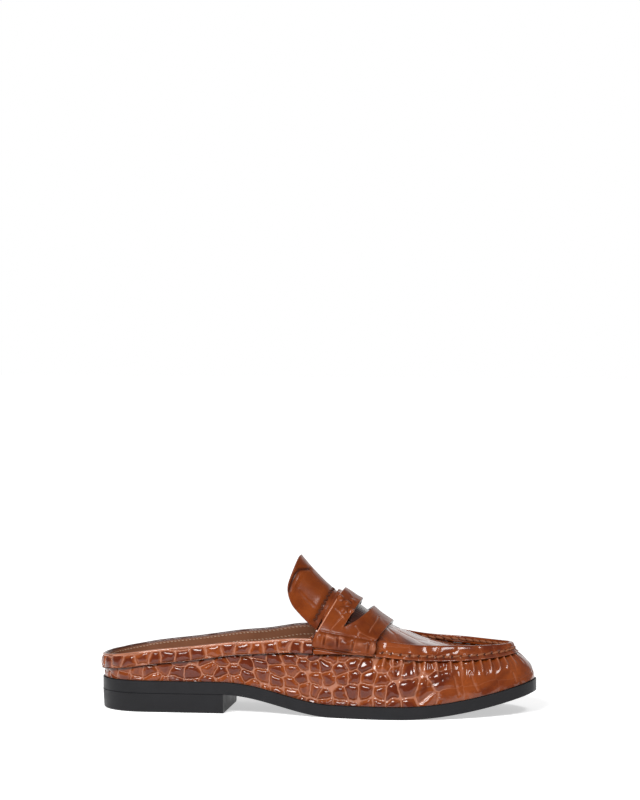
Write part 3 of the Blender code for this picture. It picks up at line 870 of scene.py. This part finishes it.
def search_tree(piece):
    """The faces of a piece, ready to be searched along a straight line."""
    mesh = piece.data
    return BVHTree.FromPolygons([v.co.copy() for v in mesh.vertices], [tuple(p.vertices) for p in mesh.polygons])


def seat(tree, along, side, height, from_inside=False):
    """The spot on the leather at a distance round the sole's edge and a height, and its normal."""
    point, way = edge_at(along, side)
    start = Vector((point.x, point.y, height)) + way * (22 * MM if from_inside else -30 * MM)
    spot, normal, _, _ = tree.ray_cast(start, -way if from_inside else way)
    return spot, normal


collar_tree = search_tree(collar)
lining_tree = search_tree(upper_copy)
collar_end = {side: collar_reach[side][-1, 0] for side in (-1, 1)}
edge_spots = []
for side in (-1, 1):
    run = np.arange(1.5 * MM, collar_end[side] + 2 * MM, BEAD_STEP)
    spots = []
    for along in run:
        top = edge_height(collar_reach, along, side, True)
        outer = seat(collar_tree, min(along, collar_end[side] - 1 * MM), side, top - 1.6 * MM)[0]
        inner = seat(lining_tree, along, side, top - 2.2 * MM, True)[0]
        if outer is None or inner is None:
            continue
        share = (BEAD_RADIUS + 0.1 * MM) / max((inner - outer).length, 2 * MM)
        spot = outer.lerp(inner, min(share, 0.5))
        spots.append((spot.x, spot.y, top - 0.35 * MM))
    edge_spots.append(spots)
# The bead's pale leather is a painted highlight along the folded edge.
edge = bead("folded_collar_edge", edge_spots[0][::-1] + edge_spots[1], BEAD_RADIUS, edge_leather)
subdivide(edge, 1)
turned_in = 1 - facing_out(edge, measure(places(edge)))
keep_values(edge, "painted_light_and_tone", -0.85 * np.clip((turned_in - 0.3) / 0.5, 0, 1))
finish_piece(edge, "croc_leather")

# %% [markdown]
# ## The toe seam
# The seam stands up round the apron. Its band laps over the wall and is sewn down with a row of
# large stitches just above its raw edge, which pull a dent into the leather at each stitch.

# %% Seam band with its dented sewing line
STITCH_PITCH = 5.8 * MM
SEWN_AT = 3.0 * MM
seam = copy_of("seam_band", "croc_seam_band")
crease_sharp(seam, 55, 0.35)
subdivide(seam, 3)
found = measure(places(seam))
heights = places(seam)[:, 2]
out = facing_out(seam, found)
share = band_share(found, heights, seam_reach)
low = heights - np.array([edge_height(seam_reach, a, s, False) for a, s in found[:, :2]])
dent = hump(low - SEWN_AT, 1.1 * MM, 1.0)
holes = 0.5 + 0.5 * np.cos(2 * pi * (found[:, 0] - 0.15 * (low - SEWN_AT)) / STITCH_PITCH)
keep_values(seam, "scale_place", np.stack([found[:, 0] / (13 * MM), share * 1.1 + 0.2, 0.32 * out], axis=1))
keep_values(seam, "fold", -MM * dent * out * (0.35 + 0.35 * holes**3))
# Painted shade in the dents at the stitches and along the band's raw lower edge, and a painted highlight on the strip
# just above it.
keep_values(seam, "painted_light_and_tone", np.clip(-0.8 * dent * out * holes**4 - 0.9 * hump(low, 0.5 * MM, 1.0)
                                  + 0.35 * out * hump(low - 1.0 * MM, 0.4 * MM, 1.0), -1, 1))
press_scales(seam, 0.35 * MM, WALL_RANDOM)
seam.data.materials.append(wall_leather)
finish_piece(seam, "croc_leather", "seam_band")


# %% [markdown]
# ## Stitches
# Every stitch is a small bead, longer than it is wide, half sunk into the leather. One bead is
# made, copied to each place in a row, turned to the row's direction and joined into one piece.

# %% Sew rows of stitches
def sew(name, stitches, size, material, slot):
    """Joins a bead at each (spot, normal, direction) into one piece. Size is length, width, height."""
    bpy.ops.mesh.primitive_uv_sphere_add(segments=8, ring_count=6, radius=0.5, rotation=(0, pi / 2, 0))
    first = bpy.context.object
    bpy.ops.object.transform_apply(rotation=True)
    copies = []
    for spot, normal, direction in stitches:
        normal = normal.normalized()
        run = (direction - normal * direction.dot(normal)).normalized()
        across = normal.cross(run)
        turn = Matrix((run * size[0], across * size[1], normal * size[2])).transposed()
        stitch = bpy.data.objects.new(name, first.data.copy())
        scene.collection.objects.link(stitch)
        stitch.data.transform(Matrix.Translation(spot) @ turn.to_4x4())
        copies.append(stitch)
    bpy.data.objects.remove(first)
    bpy.ops.object.select_all(action="DESELECT")
    for stitch in copies:
        stitch.select_set(True)
    bpy.context.view_layer.objects.active = copies[0]
    bpy.ops.object.join()
    piece = bpy.context.object
    piece.name = piece.data.name = name
    piece.data.materials.append(material)
    finish_piece(piece, slot)
    return piece


def run_at(along, side):
    """The direction towards the toe along the sole's edge."""
    return (edge_at(along + 1 * MM, side)[0] - edge_at(along - 1 * MM, side)[0]).normalized()


def row(tree, begin, finish, pitch, height_at, from_inside=False, slant=0.0, lift=0.0, both=(-1, 1)):
    """Places for a row of stitches on both sides of the shoe."""
    stitches = []
    for side in both:
        for along in np.arange(begin[side], finish, pitch):
            spot, normal = seat(tree, along, side, height_at(along, side), from_inside)
            if spot is None:
                continue
            if normal.dot(edge_at(along, side)[1]) * (1 if from_inside else -1) < 0:
                normal = -normal
            direction = run_at(along, side) + Vector((0, 0, slant))
            stitches.append((spot + normal * lift, normal, direction))
    return stitches


seam_tree = search_tree(seam)
seam_start = {side: np.ceil((seam_reach[side][0, 0] + 2 * MM) / STITCH_PITCH) * STITCH_PITCH for side in (-1, 1)}


def sewn_height(along, side):
    return edge_height(seam_reach, along, side, False) + SEWN_AT


middles = {side: start + STITCH_PITCH / 2 for side, start in seam_start.items()}
beads = row(seam_tree, middles, HALF_ROUND, STITCH_PITCH, sewn_height, slant=0.10, lift=0.05 * MM)
sew("toe_seam_stitches", beads, (4.8 * MM, 1.3 * MM, 1.0 * MM), brown_thread, "croc_leather")
notches = row(seam_tree, seam_start, HALF_ROUND, STITCH_PITCH, sewn_height, slant=0.9, lift=0.02 * MM)
sew("toe_seam_pinholes", notches, (2.2 * MM, 0.9 * MM, 0.5 * MM), dark_thread, "croc_leather")


def rim_height(along, side):
    return edge_height(seam_reach, along, side, True) - 2.2 * MM


inner = row(seam_tree, middles, HALF_ROUND - 4 * MM, STITCH_PITCH, rim_height, True, slant=-0.35, lift=0.05 * MM)
sew("rim_stitches", inner, (5.0 * MM, 1.7 * MM, 1.3 * MM), brown_thread, "croc_leather")
gaps = row(seam_tree, seam_start, HALF_ROUND - 4 * MM, STITCH_PITCH, rim_height, True, slant=-1.2, lift=0.02 * MM)
sew("rim_pinholes", gaps, (2.4 * MM, 0.9 * MM, 0.5 * MM), dark_thread, "croc_leather")

LINING_PITCH = 2.3 * MM
LINING_ROWS = (1.6 * MM, 6.4 * MM)
heel_start = {-1: LINING_PITCH / 2, 1: LINING_PITCH / 2}
lining_row = []
for below in LINING_ROWS:
    for side in (-1, 1):
        lining_row += row(lining_tree, heel_start, collar_end[side], LINING_PITCH,
                          lambda a, s: edge_height(collar_reach, a, s, True) - below, True, both=(side,))
sew("lining_stitches", lining_row, (1.5 * MM, 0.55 * MM, 0.4 * MM), pale_thread, "lining_leather")

# %% [markdown]
# ## The saddle strap
# The strap crosses the instep at right angles and has a long slot with pointed ends. Its ends are
# rolled over the seam and drawn in by hand stitches, which leave a row of small pillows. Small
# knobbly scales sit on its back limb, and long thin lines part the large scales elsewhere.

# %% Strap with rolled ends
ROLL_LOW = ((5.0, 41.2), (36.0, 37.7))
ROLL_HIGH = ((3.0, 51.8), (38.0, 46.2))
ROLL_CUTS = [
    # x at the roll's foot and at its top, mm
    (8.0, 9.5),
    (16.5, 17.0),
    (25.0, 27.0),
    (34.5, 36.0),
]
ROLL_PILLOWS = [
    # x in mm, share of the roll's height, length in mm, share it covers, height in mm, painted highlight above zero
    # and painted shade below
    (5.0, 0.65, 1.3, 0.35, 0.7, 0.3),
    (11.0, 0.78, 2.2, 0.14, 0.7, 0.5),
    (14.5, 0.70, 1.6, 0.16, 0.6, 0.3),
    (12.5, 0.35, 2.6, 0.14, -0.4, -0.4),
    (19.0, 0.82, 2.0, 0.12, 0.5, 0.5),
    (22.0, 0.52, 2.6, 0.24, 0.6, 0.0),
    (23.0, 0.15, 3.0, 0.10, -0.3, -0.6),
    (30.5, 0.62, 2.8, 0.16, 0.9, 0.4),
    (29.0, 0.25, 3.2, 0.12, -0.3, -0.3),
    (38.0, 0.55, 1.2, 0.40, 0.7, 0.5),
    (27.5, 0.05, 3.0, 0.08, 0.6, 0.5),
    (11.0, 0.05, 3.0, 0.08, 0.4, 0.2),
]
STRAP_LINES = [
    # width, depth in mm, paleness, then spots as x, y, z in mm
    (0.45, 0.30, 0.6, [(11.7, -23.3, 65.0), (15.5, -27.1, 62.6), (18.8, -29.2, 59.3), (22.6, -31.0, 54.4)]),
    (0.45, 0.25, 0.5, [(18.8, -29.2, 59.3), (16.1, -32.1, 56.6), (12.5, -34.9, 52.5)]),
    (0.45, 0.30, 0.6, [(38.9, -12.6, 58.0), (38.2, -19.6, 56.2), (35.9, -28.2, 52.8), (35.2, -31.9, 51.0)]),
    (0.45, 0.25, 0.5, [(27.1, -31.6, 53.8), (29.6, -33.7, 51.2), (29.0, -35.7, 48.5)]),
    (0.45, 0.25, 0.5, [(29.9, -33.9, 50.8), (34.0, -34.8, 48.9), (38.4, -35.0, 47.1)]),
    (0.45, 0.25, 0.4, [(14.0, -2.0, 74.5), (19.0, -8.0, 71.5), (24.0, -14.0, 67.0)]),
]
STRAP_KNOBS = [
    # spot as x, y, z, then width and height, mm
    (15.9, -18.7, 69.8, 1.9, 1.4),
    (20.6, -20.5, 66.8, 1.9, 1.6),
    (18.6, -25.6, 63.2, 1.8, 1.0),
    (23.6, -24.4, 62.4, 1.8, 1.5),
    (23.0, -15.8, 67.8, 1.6, 0.8),
]
SLOT_TIP_GAP = (1.0 * MM, 2.3 * MM)
ALONG_STRAP = Vector((0.87, 0.0, -0.5))


def shorten_slot(piece):
    """Closes the slot from its narrow tip upwards, where the cut edges lie closest together."""
    corners = piece.data.vertices
    joined = []
    for first in corners:
        for other in corners:
            gap = other.co - first.co
            if SLOT_TIP_GAP[0] < gap.length < SLOT_TIP_GAP[1] and gap.normalized().dot(ALONG_STRAP) > 0.75:
                joined.append((first.index, other.index))
    ends = [corners[first].co.copy() for first, _ in joined]
    for first, other in joined:
        corners[other].co = corners[first].co
    edit(piece)
    bpy.ops.mesh.select_all(action="SELECT")
    bpy.ops.mesh.remove_doubles(threshold=0.01 * MM)
    done()
    only(piece)
    for face in piece.data.polygons:
        end = min(ends, key=lambda spot: (face.center - spot).length)
        near = (face.center - end).length < 9 * MM and abs(face.center.y) > abs(end.y)
        face.select = near and abs(face.normal.dot(ALONG_STRAP)) > 0.5
    print("slot tips joined", len(joined), "inner faces", sum(f.select for f in piece.data.polygons))
    bpy.ops.object.mode_set(mode="EDIT")
    bpy.ops.mesh.delete(type="ONLY_FACE")
    bpy.ops.mesh.select_all(action="SELECT")
    bpy.ops.mesh.delete_loose(use_verts=True, use_edges=True, use_faces=False)
    bpy.ops.mesh.select_mode(type="EDGE")
    bpy.ops.mesh.select_all(action="DESELECT")
    bpy.ops.mesh.select_non_manifold()
    done()
    print("open edges left", sum(edge.select for edge in piece.data.edges))


strap = copy_of("saddle_strap", "croc_saddle_strap")
shorten_slot(strap)
crease_sharp(strap, 50, 0.6)
subdivide(strap, 4)
spots, turned = places(strap), normals(strap)
side = np.where(spots[:, 1] < 0, -1.0, 1.0)
out = np.clip((side * turned[:, 1] * 0.75 + turned[:, 2] * 0.65 + 0.1) / 0.35, 0, 1)
arc = np.arctan2(spots[:, 1], spots[:, 2] - 20 * MM) * 38 * MM
fold, painted_light_and_tone = np.zeros(len(spots)), np.zeros(len(spots))

x, z = spots[:, 0] / MM, spots[:, 2] / MM - np.where(side > 0, 1.5, 0.0)
low = np.interp(x, *np.transpose(ROLL_LOW))
high = np.interp(x, *np.transpose(ROLL_HIGH))
rise = (z - low) / (high - low)
roll = np.clip(4 * rise * (1 - rise), 0, 1) ** 0.8 * (rise > 0) * (rise < 1)
fold += 1.1 * MM * roll
low_side = np.clip((np.abs(spots[:, 1]) - 26 * MM) / (4 * MM), 0, 1)
# Each cut is a groove with painted shade in it and painted highlight on its lips.
for foot, head in ROLL_CUTS:
    cut = np.abs(x - (foot + (head - foot) * np.clip(rise, 0, 1)))
    inside = np.clip(1.15 - 2.2 * np.abs(rise - 0.5), 0, 1) * low_side
    fold -= inside * hump(cut, 1.0, 0.9) * MM
    painted_light_and_tone += inside * (hump(cut - 1.1, 0.5, 0.5) - hump(cut, 0.6, 0.7))
# Grooves along the roll's foot and top, with painted shade in them.
for level, depth in ((0.0, 1.0), (1.0, 0.5)):
    gap = np.abs(z - (low + level * (high - low)))
    fold -= low_side * hump(gap, 0.7, depth) * MM
    painted_light_and_tone -= low_side * hump(gap, 0.5, 0.6 * depth)
# The pillows swell with painted highlight, and the sunken ones take painted shade.
for middle, level, length, tall, height, colour in ROLL_PILLOWS:
    swell = low_side * hump(np.hypot((x - middle) / length, (rise - level) / tall), 1.0, 1.0)
    fold += 1.3 * height * swell * MM
    painted_light_and_tone += 1.3 * colour * swell
for width, depth, colour, line in STRAP_LINES:
    line = np.array(line) * MM
    for shape in (line, line * (1, -0.92, 1) + (0, 0, 1 * MM)):
        move, trough = crease(from_line(spots, shape), width * MM, depth * MM)
        fold += move
        painted_light_and_tone += colour * trough
# Each knob has a painted highlight on its top and a ring of painted shade round its foot.
for kx, ky, kz, width, height in STRAP_KNOBS:
    for way in (1, -0.92):
        distance = np.linalg.norm(spots - np.array((kx, ky * way, kz)) * MM, axis=1)
        fold += hump(distance, width * MM, height * MM)
        painted_light_and_tone += hump(distance, 0.7 * width * MM, 0.3) - hump(distance - 1.6 * width * MM, 0.4 * MM, 0.35)
# Painted shade on the cut edges and the slot's sides, and a thin painted highlight where the face turns into the edge.
edge_turn = np.abs(turned @ np.array((0.87, 0.0, -0.5)))
painted_light_and_tone = painted_light_and_tone * out - 0.95 * np.clip((edge_turn - 0.62) / 0.2, 0, 1) + 0.5 * hump(edge_turn - 0.42, 0.10, 1.0)
keep_values(strap, "scale_place", np.stack([spots[:, 0] / (16 * MM), arc / (18 * MM) + 0.35, 0.12 * out], axis=1))
keep_values(strap, "fold", fold * out)
keep_values(strap, "painted_light_and_tone", np.clip(painted_light_and_tone, -1, 1))
press_scales(strap, 0.40 * MM, WALL_RANDOM)
strap.data.materials.append(broad_leather)
finish_piece(strap, "croc_leather", "saddle_strap")

# %% [markdown]
# ## The tongue
# The tongue is a wide flap of the same hide, cut across the middle of the skin, where the scales
# are widest. One deep crease hooks round the corner of its largest scale.

# %% Tongue
HOOK = [(-1.0, -6.0, 88.0), (-4.0, -11.1, 86.2), (-8.7, -17.5, 86.4), (-10.6, -21.0, 84.1), (-12.9, -25.4, 78.3),
        (-13.9, -27.5, 74.2)]
THROAT_SEAM = [(11.0, 0.0, 74.6), (9.8, -8.0, 73.2), (8.2, -15.0, 70.3), (6.4, -21.2, 66.0), (4.0, -25.5, 61.0),
               (1.8, -27.8, 56.9)]
# Each line: width and depth in mm, painted shade below zero and paleness above, then its spots as x, y, z in mm.
TONGUE_LINES = [
    (1.1, 0.55, -0.95, HOOK),
    (1.5, 0.35, -0.60, THROAT_SEAM),
    (0.5, 0.25, 0.25, [(-4.0, -11.1, 86.2), (1.0, -12.0, 81.0), (6.0, -12.0, 76.0)]),
    (0.5, 0.25, 0.25, [(-8.0, -24.0, 74.0), (-3.0, -25.0, 69.0), (2.0, -24.0, 64.0)]),
    (0.6, 0.30, -0.4, [(-9.0, 16.0, 86.0), (-6.0, 12.0, 84.0), (-1.0, 9.0, 82.0), (5.0, 9.0, 77.0)]),
]
tongue = copy_of("tongue", "croc_tongue")
crease_sharp(tongue, 50, 0.5)
subdivide(tongue, 3)
spots, turned = places(tongue), normals(tongue)
arc = np.arctan2(spots[:, 1], spots[:, 2] - 35 * MM) * 35 * MM
up = (spots[:, 2] - spots[:, 0]) / 1.41
outer = np.clip((turned[:, 0] * 0.6 + turned[:, 2] * 0.6 - 0.75 * turned[:, 1] * np.where(arc < 0, 1, -1)) / 0.3, 0, 1)
fold, painted_light_and_tone = np.zeros(len(spots)), np.zeros(len(spots))
for width, depth, colour, line in TONGUE_LINES:
    move, trough = crease(from_line(spots, np.array(line) * MM), width * MM, depth * MM)
    fold += move
    painted_light_and_tone += colour * trough
keep_values(tongue, "scale_place", np.stack([arc / (24 * MM) + 0.6, up / (22 * MM), np.full(len(spots), 0.12)],
                                            axis=1))
keep_values(tongue, "fold", fold * outer)
keep_values(tongue, "painted_light_and_tone", np.clip(painted_light_and_tone * outer, -1, 1))
press_scales(tongue, 0.35 * MM, WALL_RANDOM)
tongue.data.materials.append(broad_leather)
finish_piece(tongue, "croc_leather", "tongue")

# %% The zigzag seam at the tongue's foot
ZIGZAG_STEP = 1.9 * MM
tongue_tree, strap_tree = search_tree(tongue), search_tree(strap)
zigzag = []
for mirror in (1, -1):
    line = np.array(THROAT_SEAM) * MM * (1, mirror, 1)
    walked = np.concatenate([[0], np.cumsum(np.linalg.norm(np.diff(line, axis=0), axis=1))])
    for n, at in enumerate(np.arange(ZIGZAG_STEP / 2, walked[-1], ZIGZAG_STEP)):
        here = Vector([float(np.interp(at, walked, line[:, i])) for i in range(3)])
        there = Vector([float(np.interp(at + MM, walked, line[:, i])) for i in range(3)])
        spot, normal, _, _ = tongue_tree.find_nearest(here)
        run = (there - here).normalized() if at + MM < walked[-1] else run
        if normal.dot(Vector((0.5, 0.8 * here.y / (35 * MM), 0.6))) < 0:
            continue
        slant = normal.cross(run) * (1.3 if n % 2 else -1.1)
        zigzag.append((spot + normal * 0.1 * MM, normal, run + slant))
sew("tongue_zigzag", zigzag, (3.0 * MM, 1.1 * MM, 0.5 * MM), dark_thread, "croc_leather")

# %% A light fold along the strap's back edge
corners = np.array([v.co for v in frame["nodes"]["saddle_strap"].data.vertices])
angle = np.arctan2(corners[:, 1], corners[:, 2] - 20 * MM)
steps = np.linspace(angle.min() + 0.10, angle.max() - 0.10, 26)
fold_spots = []
for middle in steps:
    near = corners[np.abs(angle - middle) < 0.11]
    back_edge = near[near[:, 0] < near[:, 0].min() + 1.2 * MM]
    far_out = np.hypot(back_edge[:, 1], back_edge[:, 2] - 20 * MM)
    fold_spots.append(back_edge[np.argmax(far_out)])
fold_spots = np.array(fold_spots)
smooth_spots = fold_spots.copy()
for _ in range(3):
    smooth_spots[1:-1] = (smooth_spots[:-2] + 2 * smooth_spots[1:-1] + smooth_spots[2:]) / 4
# The fold's pale leather is a painted highlight along the strap's back edge.
piping = bead("strap_back_fold", [tuple(p) for p in smooth_spots], 0.45 * MM, edge_leather)
finish_piece(piping, "croc_leather")

# %% [markdown]
# ## Sole, heel and footbed
# These are plain parts. The footbed's cut edges are creased a little less than fully, so that
# subdividing leaves a small round on them that catches the light; the sole's and the heel's are
# creased fully. The heel is glued to the sole.

# %% Sole, heel and footbed
HEEL_SINK = 0.25 * MM
HEEL_LAP = 1.0003


def join_to_sole(piece):
    """Raises the heel's top into the sole and laps it over the sole's edge, so no gap shows."""
    low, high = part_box("heel_block")
    middle = (low + high) / 2
    for vertex in piece.data.vertices:
        if vertex.co.z > high.z - 0.2 * MM:
            vertex.co.x = middle.x + (vertex.co.x - middle.x) * HEEL_LAP
            vertex.co.y = middle.y + (vertex.co.y - middle.y) * HEEL_LAP
            vertex.co.z += HEEL_SINK


for node, name, material, slot, crease_amount in (
    ("outsole", "rubber_sole", sole_rubber, "black_sole", 1.0),
    ("heel_block", "rubber_heel", sole_rubber, "black_sole", 1.0),
    ("insole", "leather_footbed", footbed_leather, "lining_leather", 0.6),
):
    piece = copy_of(node, name)
    if node == "heel_block":
        join_to_sole(piece)
    crease_sharp(piece, 30, crease_amount)
    subdivide(piece, 2)
    piece.data.materials.append(material)
    finish_piece(piece, slot, node)
    bpy.ops.object.shade_smooth_by_angle(angle=radians(40))

# %% [markdown]
# ## Floor, light and camera
# The photo was taken a little towards the toe and a little above the floor, with a long lens. The
# camera stands there and looks slightly over the shoe, so that the shoe lies low in the picture.

# %% Floor and world
FLOOR_GLOW = 0.52
ROOM_LIGHT = 0.22
bpy.ops.mesh.primitive_plane_add(size=8.0, location=(0, 0, 0))
floor = bpy.context.object
floor.name = "pale_floor"
paper, tree, shader = new_material("pale_paper", 0.9, specular=0.0)
tree.links.new(blend_colours(tree, object_noise(tree, 3.0), (0.89, 0.89, 0.89), (0.91, 0.91, 0.91)),
               shader.inputs["Base Color"])
# The floor glows, brighter further out: painted light that fills the shoe's shadow near it and fades into the white
# backdrop.
spot = tree.nodes.new("ShaderNodeTexCoord")
away = tree.nodes.new("ShaderNodeVectorMath")
away.operation = "LENGTH"
tree.links.new(spot.outputs["Object"], away.inputs[0])
shader.inputs["Emission Color"].default_value = (1.0, 1.0, 1.0, 1.0)
tree.links.new(ramp(tree, away.outputs["Value"], 0.3, 1.2, FLOOR_GLOW, 1.0), shader.inputs["Emission Strength"])
floor.data.materials.append(paper)
world = bpy.data.worlds.new("studio")
scene.world = world
world.use_nodes = True
tree = world.node_tree
backdrop = tree.nodes["Background"]
backdrop.inputs["Color"].default_value = (1.0, 1.0, 1.0, 1.0)
rays = tree.nodes.new("ShaderNodeLightPath")
tree.links.new(ramp(tree, rays.outputs["Is Camera Ray"], 0.0, 1.0, ROOM_LIGHT, 1.0), backdrop.inputs["Strength"])


# %% Lights
def softbox(name, place, aim, size, power):
    light = bpy.data.lights.new(name, "AREA")
    light.shape = "RECTANGLE"
    light.size, light.size_y = size
    light.energy = power
    lamp = bpy.data.objects.new(name, light)
    scene.collection.objects.link(lamp)
    lamp.location = place
    lamp.rotation_euler = (Vector(aim) - Vector(place)).to_track_quat("-Z", "Y").to_euler()
    lamp.visible_camera = False


softbox("front_softbox", (-0.30, -0.93, 0.74), (0, 0, 0.03), (0.60, 0.26), 13.5)
softbox("toe_softbox", (0.62, -0.42, 1.05), (0.08, 0, 0.03), (0.30, 0.30), 4.5)
softbox("back_softbox", (0.1, 1.7, 0.50), (0, 0, 0.05), (2.4, 0.7), 4.2)

# %% Camera
TURN = radians(7.2)
LIFT = radians(7.2)
DISTANCE = 2.2
PIXELS_PER_METRE = 1650.0
SHOE_BELOW_CENTRE = 253.0
PHOTO_HEIGHT = 800
SENSOR = 36.0
AIM = Vector((0.0015, 0.0, 0.0338))

back = Vector((sin(TURN) * cos(LIFT), -cos(TURN) * cos(LIFT), sin(LIFT)))
raised = np.arcsin(SHOE_BELOW_CENTRE / (PIXELS_PER_METRE * DISTANCE))
camera = bpy.data.cameras.new("photo_camera")
camera.sensor_width = SENSOR
camera.lens = PIXELS_PER_METRE * DISTANCE * cos(raised) * SENSOR / PHOTO_HEIGHT
camera.clip_end = 50.0
viewer = bpy.data.objects.new("photo_camera", camera)
scene.collection.objects.link(viewer)
viewer.location = AIM + back * DISTANCE
looking = (-back).to_track_quat("-Z", "Y").to_matrix()
viewer.rotation_euler = (looking @ Matrix.Rotation(float(raised), 3, "X")).to_euler()
scene.camera = viewer
print("lens", round(camera.lens, 1), "mm")
